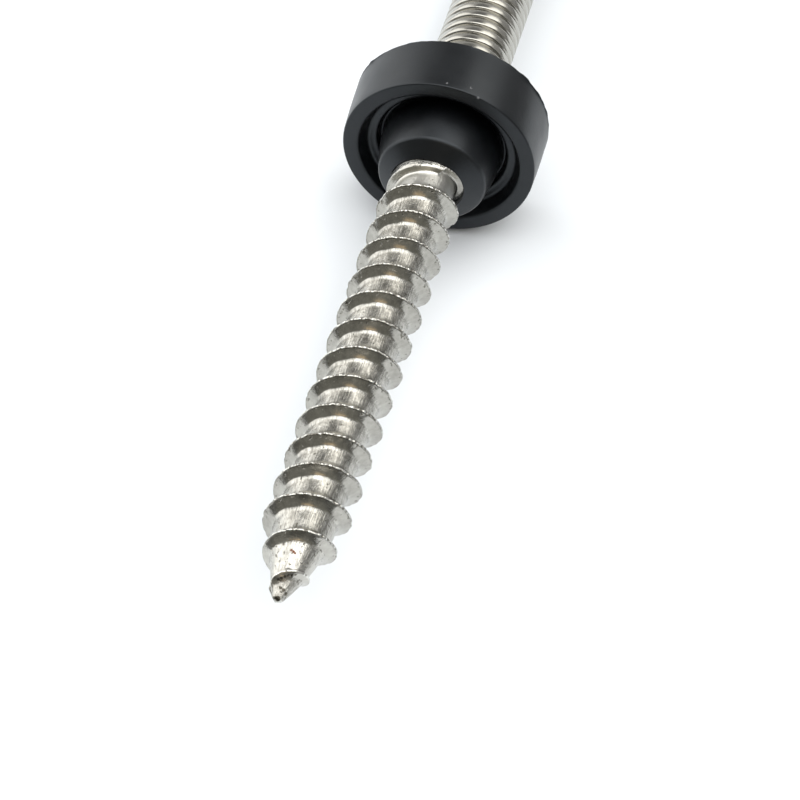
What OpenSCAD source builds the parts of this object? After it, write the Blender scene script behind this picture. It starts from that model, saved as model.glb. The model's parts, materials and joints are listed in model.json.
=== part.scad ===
// Hanger bolt: a rolled steel bolt with a coarse lag thread at one end and a machine stud at the
// other, and a cupped rubber seal that grips the plain shank where the two meet.
// Each piece is drawn along its own axis, +Z from the point to the stud, and then laid down as
// the bolt rests: on the back edge of the seal and the end of the stud. Millimetres.

/* [Bolt] */
// Length from the point to the end of the stud
bolt_length = 180; // [150:1:260]
// Diameter of the plain shank between the two threads
shank_d = 8.9; // [8.4:0.05:9.2]

/* [Lag thread] */
// Length from the point to the end of the last crest
lag_length = 66.1; // [50:0.1:90]
// Distance from one crest to the next
lag_pitch = 4.5; // [3.6:0.1:5.5]
// Diameter over the crests
crest_d = 9.8; // [9.4:0.05:10.4]
// Diameter of the root between the crests
root_d = 7; // [6:0.05:7.6]
// Width of the flat on top of a crest
crest_land = 0.25; // [0.1:0.01:0.4]
// Axial run of the flank that faces the point
front_flank = 0.75; // [0.5:0.01:1]
// Axial run of the flank that faces the stud
rear_flank = 0.85; // [0.5:0.01:1.1]
// Length of the fillet between a flank and the root
flank_fillet = 0.4; // [0.1:0.01:0.6]
// Turn about the axis of the thread's start
thread_turn = 137.4; // [0:0.1:360]

/* [Point] */
// Length over which the point grows to the root diameter
point_length = 11.2; // [8:0.1:16]
// Diameter of the blunt end
point_end_d = 1; // [0.4:0.05:1.2]
// Rise of the oblique end for each millimetre upwards
end_slope = 0.6; // [0:0.05:1]
// Sideways bend of the point's end
point_lean = 0.55; // [0:0.05:0.8]
// Direction of that bend about the bolt's axis
point_lean_turn = 45; // [0:1:360]
// Turns over which the crest grows from the point
crest_rise_turns = 2.4; // [1.5:0.05:3]
// Turn of the thread where a ridge stands on the point
gimlet_turn = 1.12; // [0.9:0.01:1.4]
// Extra height of that ridge
gimlet_ridge = 0.5; // [0:0.05:0.8]
// How far the ridge swings towards the end
gimlet_swing = 0.6; // [0:0.05:0.9]

/* [Run-out] */
// Widening of the last land towards the point
last_land = 0.6; // [0:0.05:0.8]
// Turns before the last crest's end where that widening drops back in a nick
nick_turns = 0.02; // [0:0.01:0.1]

/* [Machine stud] */
// Diameter over the machine thread
stud_d = 9.85; // [9.6:0.01:10]
// Chamfer at the end of the stud
stud_chamfer = 1; // [0.4:0.1:1.8]

/* [Seal] */
// Diameter of the front rim
seal_front_d = 24.15; // [22:0.05:28]
// Diameter of the back edge
seal_back_d = 24.55; // [22:0.05:28]
// Depth from the front rim to the back
seal_depth = 7.7; // [6:0.1:12]
// Width of the flat front rim
rim_width = 1.9; // [1.2:0.05:2.4]
// Depth of the step from the rim to the ledge inside it
step_depth = 2.05; // [1:0.05:3]
// Radial run of the sloping wall of that step
step_run = 0.85; // [0.2:0.05:1.2]
// Width of the ledge
ledge_width = 1.25; // [0.8:0.05:1.6]
// Rise of the ledge towards its inner edge
ledge_rise = 0.4; // [0:0.05:0.8]
// Width of the groove between the ledge and the boss
groove_width = 0.6; // [0.4:0.05:1]
// Depth of the groove below the ledge's inner edge
groove_depth = 1.4; // [0.6:0.05:2]

/* [Seal boss] */
// Height of the boss in front of the rim
boss_height = 4.05; // [2:0.05:6]
// Diameter of the boss at its front corner
boss_d = 13.6; // [12.6:0.05:14.6]
// Radius of that corner
boss_corner = 0.6; // [0.3:0.05:1]
// Depth behind the rim where the boss's flank ends in its straight foot
boss_foot_depth = 0.2; // [0:0.05:1]
// Rise of the front face towards the bore
face_rise = 0.65; // [0:0.05:1]

/* [Seal seat] */
// Length of bare shank between the last crest and the boss
seal_gap = 0.1; // [0:0.05:2]
// Gap between the bore of the seal and the shank
bore_gap = 0.06; // [0.02:0.01:0.2]
// Gap between the back of the seal and the start of the stud
stud_gap = 0.4; // [0.3:0.05:2]
// Lean of the seal on the bolt
seal_lean = 1.66; // [0:0.02:2.5]
// Direction of that lean about the bolt's axis
lean_turn = 52.5; // [0:0.5:360]
// Sideways shift of the seal on the bolt
seal_shift = 0.18; // [0:0.01:0.3]
// Direction of that shift about the bolt's axis
shift_turn = -78; // [-180:1:180]
// How far the soft rubber is flattened where it rests on the ground
rest_sink = 0.2; // [0.05:0.01:0.4]

/* [Hidden] */
$fn = 96;

steel = [0.74, 0.73, 0.7];
rubber = [0.13, 0.13, 0.14];

// Places along the bolt
crest_r = crest_d / 2;
root_r = root_d / 2;
shank_r = shank_d / 2;
stud_r = stud_d / 2;
end_r = point_end_d / 2;
rim_z = lag_length + seal_gap + face_rise + boss_height;
stud_start = rim_z + seal_depth + stud_gap;
// Columns to a turn and rows to a pitch of the thread's surface
sides = 36;
row_count = 7;
// Run of the helix ahead of the point, where its rows close up on the blunt end
lead_in = 2.4;
// Length over which the rows close up
lead_ease = 0.8;
// Bend of the point's outline and of the crest's growth along it
point_power = 1.7;
crest_power = 1.6;
// Turns before the last crest's end where the crest starts to sink, and where the groove
// starts and ends its rise to the shank
crest_fade = 0.75;
groove_fade = 0.75;
groove_stop = 0.2;
// Turns over which the ridge on the point stands, and by which its swing leads it
gimlet_span = 0.17;
gimlet_lead = 0.25;
// Length over which the point's end is bent
lean_length = 4.5;
// Turns before the last crest's end where the last land starts and stops widening
widen_from = 0.8;
widen_to = 0.25;
// Share of the flank's height at which its fillet starts
fillet_height = 0.14;
// The fillet behind a crest is this much longer than the one before it
rear_fillet_ratio = 1.6;
// The faceted thread stands this far inside the round shank where the two are joined
joint_step = 0.03;
// Turns of the thread's surface that stand inside the shank, and of its hub above them
joint_turns = 0.25;
hub_turns = 0.5;
// Largest exponent that is worked out
exponent_cap = 300;
full_turn = lead_in / lag_pitch + crest_rise_turns;
last_turn = (lag_length + lead_in) / lag_pitch;
// The last groove is gone here, and the round shank starts
shank_start = lag_length + (1 - groove_stop) * lag_pitch + joint_step;
turn_count = ceil((shank_start + lead_in) / lag_pitch + joint_turns);

// Step from 0 to 1 between two values, with soft ends
function ease(low, high, value) =
    let (t = min(1, max(0, (value - low) / (high - low)))) t * t * (3 - 2 * t);
function mix(from, to, share) = from + (to - from) * share;

// Height above the point of a row that the unbent helix puts at height w
function row_z(w) = lead_ease * ln(1 + exp(min(w / lead_ease, exponent_cap)));
// Radius of the core at a height, an ogive up to the full root
function core_r(z) =
    mix(end_r, root_r, 1 - pow(1 - min(1, z / point_length), point_power));
// Radius of the root beside a turn of the thread, which rises to the shank at the last turn
function groove_r(turn, z) =
    mix(core_r(z), shank_r - joint_step,
        ease(last_turn - groove_fade, last_turn - groove_stop, turn));
// Bell curve about a turn on the point
function hump(turn, centre) = exp(-pow((turn - centre) / gimlet_span, 2));
// Height of a turn's crest along the axis, before the rows close up on the point
function crest_w(turn) =
    lag_pitch * turn - lead_in - gimlet_swing * hump(turn, gimlet_turn - gimlet_lead);
// How far the front edge of a turn's land runs ahead
function widening(turn) =
    let (nick = last_turn - nick_turns)
    last_land * ease(last_turn - widen_from, last_turn - widen_to, turn)
        * (1 - ease(nick, nick + 1 / sides, turn));
// Radius of the crest at a turn, which grows from the point and sinks to the shank at the end
function crest_top(turn) =
    let (grown = 1 - pow(1 - min(1, max(0, 1 + (turn - full_turn) / crest_rise_turns)), crest_power))
    mix(max(crest_r * grown + gimlet_ridge * hump(turn, gimlet_turn), core_r(row_z(crest_w(turn)))),
        shank_r - joint_step,
        ease(last_turn - crest_fade, last_turn, turn));
// Share of the full thread height at a turn
function ridge_share(turn) =
    (crest_top(turn) - groove_r(turn, row_z(crest_w(turn)))) / (crest_r - root_r);

// Place and height share of one row of the thread, from one crest's land to the next one's foot.
// Each entry is [height along the unbent helix, share of the ridge's height, turn of the ridge].
function thread_row(turn, row) =
    let (
        here = max(0, ridge_share(turn)),
        next = max(0, ridge_share(turn + 1)),
        middle = crest_w(turn),
        foot = 1 - fillet_height,
        rear_foot = middle + crest_land / 2 + rear_flank * here * foot,
        front_foot = middle + lag_pitch - crest_land / 2 - front_flank * next * foot - widening(turn + 1),
        rear_root = rear_foot + flank_fillet * rear_fillet_ratio,
        front_root = front_foot - flank_fillet
    )
    row == 0 ? [middle - crest_land / 2 - widening(turn), 1, turn] :
    row == 1 ? [middle + crest_land / 2, 1, turn] :
    row == 2 ? [rear_foot, fillet_height, turn] :
    row == 3 ? [rear_root, 0, turn] :
    row == 4 ? [(rear_root + front_root) / 2, 0, turn] :
    row == 5 ? [front_root, 0, turn] :
    [front_foot, fillet_height, turn + 1];

function thread_point(line, column) =
    let (
        turn = floor(line / row_count) + column / sides,
        entry = thread_row(turn, line % row_count),
        z = row_z(entry[0]),
        root = groove_r(turn, z),
        r = mix(root, max(root, crest_top(entry[2])), entry[1]),
        angle = thread_turn + 360 * column / sides,
        x = r * cos(angle)
    )
    [x, r * sin(angle), max(z, -end_slope * x)] + point_lean * pow(max(0, 1 - z / lean_length), 2) * lean_way;

lean_way = [cos(point_lean_turn), sin(point_lean_turn), 0];

// The lag thread and its point as one closed skin. The rows run along the helix, so the end of a
// row's turn meets the start of the row one pitch higher.
module lag_thread() {
    lines = turn_count * row_count;
    skin = [for (line = [0 : lines], column = [0 : sides - 1]) thread_point(line, column)];
    seam = [for (line = [lines + 1 : lines + row_count]) thread_point(line, 0)];
    bottom = len(skin) + len(seam);
    top = bottom + 1;
    top_z = row_z(crest_w(turn_count + hub_turns));
    points = concat(skin, seam, [point_lean * lean_way, [0, 0, top_z]]);
    function at(line, column) =
        column == sides ? at(line + row_count, 0) :
        line <= lines ? line * sides + column : len(skin) + line - lines - 1;
    function rim(line) = concat(
        [for (column = [0 : sides - 1]) at(line, column)],
        [for (step = [row_count : -1 : 1]) at(line + step, 0)]);
    function fan(loop, hub, flip) = [for (i = [0 : len(loop) - 1])
        let (a = loop[i], b = loop[(i + 1) % len(loop)]) flip ? [hub, b, a] : [hub, a, b]];
    sheet = [for (line = [0 : lines - 1], column = [0 : sides - 1], half = [0, 1])
        half == 0
            ? [at(line, column), at(line + 1, column + 1), at(line, column + 1)]
            : [at(line, column), at(line + 1, column), at(line + 1, column + 1)]];
    polyhedron(points, concat(sheet, fan(rim(0), bottom, false), fan(rim(lines), top, true)));
}

// Plain shank and machine stud, turned as one profile
module shank_and_stud() {
    rotate_extrude()
        polygon([
            [0, shank_start],
            [shank_r, shank_start],
            [shank_r, stud_start],
            [stud_r, stud_start + stud_r - shank_r],
            [stud_r, bolt_length - stud_chamfer],
            [stud_r - stud_chamfer, bolt_length],
            [0, bolt_length]
        ]);
}

module hanger_bolt() {
    color(steel)
        lay_down()
            union() {
                lag_thread();
                shank_and_stud();
            }
}

// Seal profile from the front rim at height 0 back to seal_depth
front_r = seal_front_d / 2;
back_r = seal_back_d / 2;
rim_inner_r = front_r - rim_width;
ledge_outer_r = rim_inner_r - step_run;
ledge_inner_r = ledge_outer_r - ledge_width;
groove_z = step_depth - ledge_rise + groove_depth;
boss_foot_r = ledge_inner_r - groove_width;
boss_r = boss_d / 2;
face_slope = atan(face_rise / (boss_r - boss_corner - shank_r));
flank_slope = atan((boss_foot_r - boss_r) / (boss_height - boss_corner + boss_foot_depth));
// Steps of the boss's corner and of the round groove
corner_steps = 5;
groove_steps = 6;

function arc(centre, radius, from, to, steps) =
    [for (i = [0 : steps]) let (a = mix(from, to, i / steps))
        [centre[0] + radius * cos(a), centre[1] + radius * sin(a)]];

module seal_body() {
    groove_r = groove_width / 2;
    rotate_extrude()
        polygon(concat(
            [[0, -boss_height - face_rise]],
            [[shank_r, -boss_height - face_rise]],
            arc([boss_r - boss_corner, boss_corner - boss_height], boss_corner,
                face_slope - 90, -flank_slope, corner_steps),
            [[boss_foot_r, boss_foot_depth]],
            arc([boss_foot_r + groove_r, groove_z - groove_r], groove_r, 180, 0, groove_steps),
            [
                [ledge_inner_r, step_depth - ledge_rise],
                [ledge_outer_r, step_depth],
                [rim_inner_r, 0],
                [front_r, 0],
                [back_r, seal_depth],
                [0, seal_depth]
            ]));
}

// Room for the shank, along the bolt's own axis
module seal_bore() {
    bore_start = lag_length - lag_pitch / 2;
    translate([0, 0, bore_start])
        cylinder(r = shank_r + bore_gap, h = stud_start - bore_start);
}

// What the ground flattens away
module ground() {
    translate([-bolt_length, -bolt_length, -bolt_length])
        cube([2 * bolt_length, 2 * bolt_length, bolt_length]);
}

shift = [seal_shift * cos(shift_turn), seal_shift * sin(shift_turn), 0];
lean_axis = [-sin(lean_turn), cos(lean_turn), 0];

module sealing_washer() {
    color(rubber)
        difference() {
            lay_down()
                difference() {
                    translate(shift + [0, 0, rim_z])
                        rotate(a = seal_lean, v = lean_axis)
                            seal_body();
                    seal_bore();
                }
            ground();
        }
}

// Rest: the bolt leans until the seal's flattened back edge and the stud's end are on the ground
seal_axis = [sin(seal_lean) * cos(lean_turn), sin(seal_lean) * sin(lean_turn), cos(seal_lean)];
back_centre = shift + [0, 0, rim_z] + seal_depth * seal_axis;
stud_edge_z = bolt_length - stud_chamfer;
tilt_rounds = 12;
function drop(tilt) =
    back_r * sqrt(1 - pow(cos(tilt) * seal_axis[0] + sin(tilt) * seal_axis[2], 2)) - rest_sink;
function rest_tilt(tilt, rounds) =
    rounds < 1 ? tilt :
    rest_tilt(asin((drop(tilt) + cos(tilt) * (back_centre[0] - stud_r)) / (stud_edge_z - back_centre[2])),
              rounds - 1);
tilt = rest_tilt(0, tilt_rounds);
rest_z = sin(tilt) * stud_edge_z + cos(tilt) * stud_r;
middle_x = (cos(tilt) * bolt_length + sin(tilt) * (stud_r - stud_chamfer - end_r)) / 2;

module lay_down() {
    translate([-middle_x, 0, rest_z])
        rotate([0, 90 + tilt, 0])
            children();
}

hanger_bolt();
sealing_washer();
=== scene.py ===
"""Hanger bolt: the looks of a rolled steel bolt and its rubber seal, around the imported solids."""

import json
import math

import bpy
import numpy as np
from bpy.props import FloatProperty, FloatVectorProperty, PointerProperty
from mathutils import Matrix

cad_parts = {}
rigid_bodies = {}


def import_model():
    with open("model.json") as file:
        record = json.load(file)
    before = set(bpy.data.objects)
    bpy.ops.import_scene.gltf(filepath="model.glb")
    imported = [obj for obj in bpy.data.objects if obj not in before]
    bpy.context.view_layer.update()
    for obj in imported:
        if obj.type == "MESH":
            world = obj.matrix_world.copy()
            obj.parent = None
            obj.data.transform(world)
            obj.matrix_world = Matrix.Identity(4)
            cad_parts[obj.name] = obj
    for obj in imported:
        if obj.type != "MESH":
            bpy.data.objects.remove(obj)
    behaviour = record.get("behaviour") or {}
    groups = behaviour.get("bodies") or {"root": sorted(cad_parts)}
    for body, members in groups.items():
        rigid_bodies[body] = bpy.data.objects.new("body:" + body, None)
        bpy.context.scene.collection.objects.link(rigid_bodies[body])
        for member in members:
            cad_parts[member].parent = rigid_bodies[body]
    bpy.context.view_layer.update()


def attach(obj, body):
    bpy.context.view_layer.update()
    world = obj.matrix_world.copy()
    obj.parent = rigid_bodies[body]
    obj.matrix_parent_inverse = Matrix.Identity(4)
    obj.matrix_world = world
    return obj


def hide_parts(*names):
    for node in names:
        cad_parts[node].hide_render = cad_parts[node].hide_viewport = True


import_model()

bl_info = {
    "name": "Hanger Bolt",
    "version": (1, 0, 0),
    "blender": (4, 5, 0),
    "location": "3D View > Sidebar > Hanger Bolt",
    "description": "Adds a rolled hanger bolt, its rubber seal and a plain studio",
    "category": "Add Mesh",
}

MM = 0.001


# Numbers and noise

def ease(low, high, value):
    """Step from 0 to 1 between two values, with soft ends: 3t^2 - 2t^3."""
    t = np.clip((value - low) / (high - low), 0.0, 1.0)
    return t * t * (3.0 - 2.0 * t)


def mix(start, end, share):
    """Straight blend from start to end."""
    return start + (end - start) * share


RIPPLE_KNOTS = 4096


def ripple(position, spacing, seed):
    """Smooth noise from -1 to 1 along a line: seeded random heights, eased from one to the next."""
    knots = np.random.RandomState(seed).uniform(-1.0, 1.0, RIPPLE_KNOTS)
    place = np.asarray(position) / spacing
    below = np.floor(place).astype(int)
    low, high = knots[below % RIPPLE_KNOTS], knots[(below + 1) % RIPPLE_KNOTS]
    return mix(low, high, ease(0.0, 1.0, place - below))


def crumple(across, along, spacing, seed):
    """Smooth noise from -1 to 1 over a surface: the mean of ripples along three slanted lines."""
    return (ripple(across + 0.45 * along, spacing, seed) + ripple(0.8 * along - across, spacing, seed + 1)
            + ripple(along + 0.3 * across, spacing, seed + 2)) / 3.0


# Meshes

def add_object(name, points, faces, uv=None, sharp=None):
    """Puts points in millimetres and a list of face arrays into a new object at the origin. Each
    entry of uv is a named map with a pair of numbers for every point."""
    mesh = bpy.data.meshes.new(name)
    mesh.from_pydata(points * MM, [], [face for part in faces for face in part.tolist()])
    mesh.polygons.foreach_set("use_smooth", np.ones(len(mesh.polygons), bool))
    if sharp is not None:
        mesh.set_sharp_from_angle(angle=sharp)
    corners = np.empty(len(mesh.loops), np.int32)
    mesh.loops.foreach_get("vertex_index", corners)
    for layer_name, pairs in (uv or {}).items():
        layer = mesh.uv_layers.new(name=layer_name)
        layer.data.foreach_set("uv", pairs[corners].astype(np.float32).ravel())
    mesh.validate()
    piece = bpy.data.objects.new(name, mesh)
    bpy.context.scene.collection.objects.link(piece)
    return piece


class HelixSheet:
    """A skin whose rows follow a helix: line l ends, a turn later, on the start of line l + rows.

    Its points are numbered line by line, with the last seam's points after them. Faces look away
    from the axis when turns run counter-clockwise and lines run up it."""

    def __init__(self, turns, sides, rows, first):
        self.sides, self.rows, self.lines = sides, rows, turns * rows
        line = np.arange(self.lines + 1)
        grid = first + line[:, None] * sides + np.arange(sides)
        seam = first + grid.size + np.arange(rows)
        self.start = np.concatenate([grid[:, 0], seam])
        self.ids = np.column_stack([grid, self.start[rows:]])
        self.count = grid.size + rows
        column = np.broadcast_to(np.arange(sides), grid.shape).ravel()
        all_lines = np.concatenate([np.repeat(line, sides), self.lines + 1 + np.arange(rows)])
        self.column = np.concatenate([column, np.zeros(rows, int)])
        self.turn = all_lines // rows + self.column / sides
        self.row = all_lines % rows

    def faces(self):
        """Quads between each line and the next."""
        i = self.ids
        return np.stack([i[:-1, :-1], i[:-1, 1:], i[1:, 1:], i[1:, :-1]], -1).reshape(-1, 4)

    def foot(self, ring):
        """Faces from a round ring up to the first line, whose seam is a step of one pitch."""
        low, seam = self.ids[0], self.start[:self.rows + 1]
        last = np.full(self.rows, ring[-1])
        return [
            np.stack([ring[:-1], ring[1:], low[1:-1], low[:-2]], -1),
            np.stack([last, seam[:-1], seam[1:]], -1),
            np.array([[ring[-1], ring[0], seam[0]], [ring[-1], seam[-1], low[-2]]])]

    def head(self, ring):
        """Faces from the last line up to a round ring."""
        high, seam = self.ids[-1], self.start[self.lines:]
        above = np.append(ring, ring[0])
        second = np.full(self.rows, ring[1])
        return [
            np.stack([high[1:-1], high[2:], above[2:], above[1:-1]], -1),
            np.stack([second, seam[1:], seam[:-1]], -1),
            np.array([[ring[1], ring[0], seam[-1]], [ring[1], seam[0], high[1]]])]

    def rim(self):
        """The closed loop of points round the first line and its seam."""
        return np.concatenate([self.ids[0], self.start[self.rows - 1:0:-1]])


def fan(loop, hub, up):
    """Triangles from a loop of points to one hub."""
    after = np.roll(loop, -1)
    middle = np.full(len(loop), hub)
    return np.stack([loop, after, middle] if up else [after, loop, middle], -1)


def circle(radius, height, sides, turn=0.0):
    """Points of a level circle about the axis."""
    a = turn + np.arange(sides) * 2 * math.pi / sides
    return np.stack([radius * np.cos(a), radius * np.sin(a), np.full(sides, float(height))], -1)


def band(lower, upper):
    """Quads between two rings of the same count."""
    low, high = np.append(lower, lower[0]), np.append(upper, upper[0])
    return np.stack([low[:-1], low[1:], high[1:], high[:-1]], -1)


def halve(lower, upper):
    """Triangles from a ring up to one with half as many points."""
    even, odd, wide = lower[0::2], lower[1::2], np.roll(lower[0::2], -1)
    after = np.roll(upper, -1)
    return [np.stack([even, odd, upper], -1), np.stack([odd, wide, after], -1),
            np.stack([odd, after, upper], -1)]


# Shapes of the bolt, along its own axis from the point at 0 to the end of the stud

class LagThread:
    """The coarse thread and its point. A crest's place is pitch x turn - lead, and softplus keeps
    it above the blunt end; its radius grows along the point and sinks to the shank at the end."""

    def __init__(self, s):
        self.s = s
        self.full = s.lead_in / s.lag_pitch + s.crest_rise
        self.last = (s.lag_length + s.lead_in) / s.lag_pitch
        self.shank = s.shank_d / 2

    def hump(self, turn, centre):
        return np.exp(-((turn - centre) / self.s.gimlet_span) ** 2)

    def place(self, turn):
        s = self.s
        swing = s.gimlet_swing * self.hump(turn, s.gimlet_turn - s.gimlet_lead)
        return s.lag_pitch * turn - s.lead_in - swing

    def height(self, w):
        return self.s.lead_ease * np.logaddexp(0.0, w / self.s.lead_ease)

    def core(self, z):
        s = self.s
        bare = 1.0 - np.minimum(1.0, z / s.point_length)
        return mix(s.point_end_d / 2, s.root_d / 2, 1.0 - bare ** s.point_power)

    def groove(self, turn, z):
        s = self.s
        return mix(self.core(z), self.shank,
                   ease(self.last - s.groove_fade, self.last - s.groove_stop, turn))

    def crest(self, turn):
        s = self.s
        share = np.clip(1.0 + (turn - self.full) / s.crest_rise, 0.0, 1.0)
        grown = s.crest_d / 2 * (1.0 - (1.0 - share) ** s.crest_power)
        grown = grown + s.gimlet_ridge * self.hump(turn, s.gimlet_turn)
        return mix(np.maximum(grown, self.core(self.height(self.place(turn)))), self.shank,
                   ease(self.last - s.crest_fade, self.last, turn))

    def ridge(self, turn):
        s = self.s
        rise = self.crest(turn) - self.groove(turn, self.height(self.place(turn)))
        return np.maximum(0.0, rise / ((s.crest_d - s.root_d) / 2))

    def front_run(self, turn):
        """Run of the front flank at a turn, longer where the ridge stands on the point."""
        s = self.s
        return s.front_flank * self.ridge(turn) * (1.0 + s.gimlet_run * self.hump(turn, s.gimlet_turn))

    def widening(self, turn, share):
        """How far the front edge of the last land runs ahead, up to the nick where it drops back."""
        s = self.s
        nick = self.last + s.nick_turn - s.nick_slant * (1.0 - share)
        kept = 1.0 - s.nick_drop * ease(nick, nick + s.nick_width, turn)
        return s.last_land * ease(self.last - s.land_start, self.last - s.land_full, turn) * kept

    # Share of a flank's run where its fillet starts
    FILLET = 0.86
    # One pitch as rows of (land, flank, fillet, height): shares of the half land, of the flank's
    # run and of the fillet behind or before a crest, and the share of the ridge's height there
    BEHIND = np.array([
        (0.0, 0.0, 0.0, 1.0), (0.45, 0.0, 0.0, 0.995), (0.85, 0.0, 0.0, 0.975),
        (1.0, 0.035, 0.0, 0.94), (1.0, 0.1, 0.0, 0.885), (1.0, 0.45, 0.0, 0.55), (1.0, 0.78, 0.0, 0.22),
        (1.0, FILLET, 0.25, 0.11), (1.0, FILLET, 0.6, 0.04), (1.0, FILLET, 1.0, 0.0)])
    ROOT = np.array([0.16, 0.38, 0.62, 0.84])
    BEFORE = np.array([
        (1.0, FILLET, 1.0, 0.0), (1.0, FILLET, 0.61, 0.033), (1.0, FILLET, 0.16, 0.12),
        (1.0, 0.7, 0.0, 0.267), (1.0, 0.43, 0.0, 0.483), (1.0, 0.17, 0.0, 0.734), (1.0, 0.04, 0.0, 0.883),
        (0.8, 0.0, 0.0, 0.955), (0.4, 0.0, 0.0, 0.985)])
    ROWS = len(BEHIND) + len(ROOT) + len(BEFORE)

    def surface(self, turn, row):
        """Radius and height of a row at a turn: rows go from one crest over the root to the next."""
        s = self.s
        behind, root, before = len(self.BEHIND), len(self.ROOT), len(self.BEFORE)
        kind = np.concatenate([np.zeros(behind, int), np.ones(root, int), np.full(before, 2)])[row]
        table = np.concatenate([self.BEHIND, np.zeros((root, 4)), self.BEFORE])[row]
        across = np.concatenate([np.zeros(behind), self.ROOT, np.ones(before)])[row]
        land, flank, fillet, share = table.T
        half_land = s.crest_land / 2
        crest, crest_after = self.place(turn), self.place(turn + 1)
        here = self.ridge(turn)
        run, run_after = s.rear_flank * here, self.front_run(turn + 1)
        wide = self.widening(turn + 1, share)
        foot = crest + half_land + run * self.FILLET + s.rear_fillet
        foot_after = crest_after - half_land - run_after * self.FILLET - s.front_fillet - wide
        w = np.select(
            [kind == 0, kind == 1],
            [crest + land * half_land + run * flank + fillet * s.rear_fillet, mix(foot, foot_after, across)],
            crest_after - land * (half_land + wide) - run_after * flank - fillet * s.front_fillet)
        z = self.height(w)
        base = self.groove(turn, z)
        top = np.maximum(base, self.crest(np.where(kind == 2, turn + 1, turn)))
        hollow = s.root_hollow * 4.0 * across * (1.0 - across) * np.minimum(here, 1.0) * (kind == 1)
        return mix(base, top, share) - hollow, z


class SizesOfBolt(bpy.types.PropertyGroup):
    """Sizes of the bolt, in millimetres along its own axis."""

    bolt_length: FloatProperty(name="Length", description="Point to the end of the stud", default=180.0)
    shank_d: FloatProperty(name="Shank", description="Diameter of the plain shank", default=8.9)
    lag_length: FloatProperty(name="Lag length", description="Point to the last crest", default=66.1)
    lag_pitch: FloatProperty(name="Lag pitch", description="Crest to crest", default=4.5)
    crest_d: FloatProperty(name="Crests", description="Diameter over the crests", default=9.8)
    root_d: FloatProperty(name="Root", description="Diameter between the crests", default=7.0)
    crest_land: FloatProperty(name="Land", description="Flat on top of a crest", default=0.3)
    front_flank: FloatProperty(name="Front flank", description="Run of the flank to the point", default=0.75)
    rear_flank: FloatProperty(name="Rear flank", description="Run of the flank to the stud", default=0.85)
    front_fillet: FloatProperty(name="Front fillet", description="Length of the fillet there", default=0.36)
    rear_fillet: FloatProperty(name="Rear fillet", description="Length of the fillet there", default=0.64)
    root_hollow: FloatProperty(name="Hollow", description="Sag of the root between two crests", default=0.02)
    thread_turn: FloatProperty(name="Start", description="Turn of its start, in degrees", default=137.4)
    point_length: FloatProperty(name="Point", description="Length of the point", default=11.2)
    point_end_d: FloatProperty(name="Point end", description="Diameter of the blunt end", default=1.0)
    point_power: FloatProperty(name="Point bend", description="Bend of the point's outline", default=1.7)
    point_lean: FloatProperty(name="Point lean", description="Sideways bend of the end", default=0.55)
    point_lean_turn: FloatProperty(name="Lean turn", description="Its direction, in degrees", default=45.0)
    lean_length: FloatProperty(name="Lean length", description="Length that bends", default=4.5)
    crest_rise: FloatProperty(name="Crest rise", description="Turns over which the crest grows", default=2.4)
    crest_power: FloatProperty(name="Crest bend", description="Bend of the crest's growth", default=1.6)
    crest_fade: FloatProperty(name="Crest fade", description="Turns in which the last sinks", default=0.75)
    groove_fade: FloatProperty(name="Groove fade", description="Turns left where it fills", default=0.75)
    groove_stop: FloatProperty(name="Groove stop", description="Turns left where it is gone", default=0.2)
    lead_in: FloatProperty(name="Lead", description="Run of the helix ahead of the point", default=2.4)
    lead_ease: FloatProperty(name="Lead ease", description="Length over which rows close up", default=0.8)
    stud_start: FloatProperty(name="Stud start", description="Place where the stud starts", default=79.0)
    stud_lead: FloatProperty(name="Stud lead", description="Run before the machine thread", default=0.2)
    stud_d: FloatProperty(name="Stud", description="Diameter over the machine thread", default=9.85)
    stud_pitch: FloatProperty(name="Stud pitch", description="Pitch of the machine thread", default=1.5)
    stud_depth: FloatProperty(name="Stud depth", description="Depth of the machine thread", default=0.7)
    stud_turn: FloatProperty(name="Stud turn", description="Turns by which it starts later", default=0.43)
    stud_chamfer: FloatProperty(name="Chamfer", description="Chamfer at the end", default=1.0)
    last_land: FloatProperty(name="Last land", description="Widening of the last land", default=0.6)
    land_start: FloatProperty(name="Widening", description="Turns left where it starts", default=0.8)
    land_full: FloatProperty(name="Widest", description="Turns left where it is full", default=0.25)
    nick_turn: FloatProperty(name="Nick", description="Turns from the last crest to the nick", default=-0.02)
    nick_slant: FloatProperty(name="Nick slant", description="Turns it leads at the root", default=0.007)
    nick_width: FloatProperty(name="Nick width", description="Turns over which it drops", default=0.008)
    nick_drop: FloatProperty(name="Nick drop", description="Share of the widening lost there", default=1.0)
    gimlet_turn: FloatProperty(name="Gimlet", description="Turn of the ridge on the point", default=1.12)
    gimlet_span: FloatProperty(name="Gimlet span", description="Turns over which it stands", default=0.17)
    gimlet_ridge: FloatProperty(name="Gimlet ridge", description="Its extra height", default=0.5)
    gimlet_swing: FloatProperty(name="Gimlet swing", description="Its swing to the point", default=0.6)
    gimlet_lead: FloatProperty(name="Gimlet lead", description="Turns the swing leads it", default=0.25)
    gimlet_run: FloatProperty(name="Gimlet run", description="Share its front flank gains", default=0.6)
    tip_slope: FloatProperty(name="End slope", description="Slope of the oblique end", default=0.6)
    tip_lumps: FloatProperty(name="End lumps", description="Depth of lumps on the point", default=0.085)
    crest_dents: FloatProperty(name="Dents", description="Depth of dents on the crests", default=0.1)
    tilt: FloatProperty(name="Tilt", description="Lean of the axis at rest, in degrees", default=4.161342)
    rest_height: FloatProperty(name="Rest height", description="Height of the point at rest", default=17.9012)
    middle: FloatProperty(name="Middle", description="Point to the middle in plan", default=89.886998)


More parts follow.
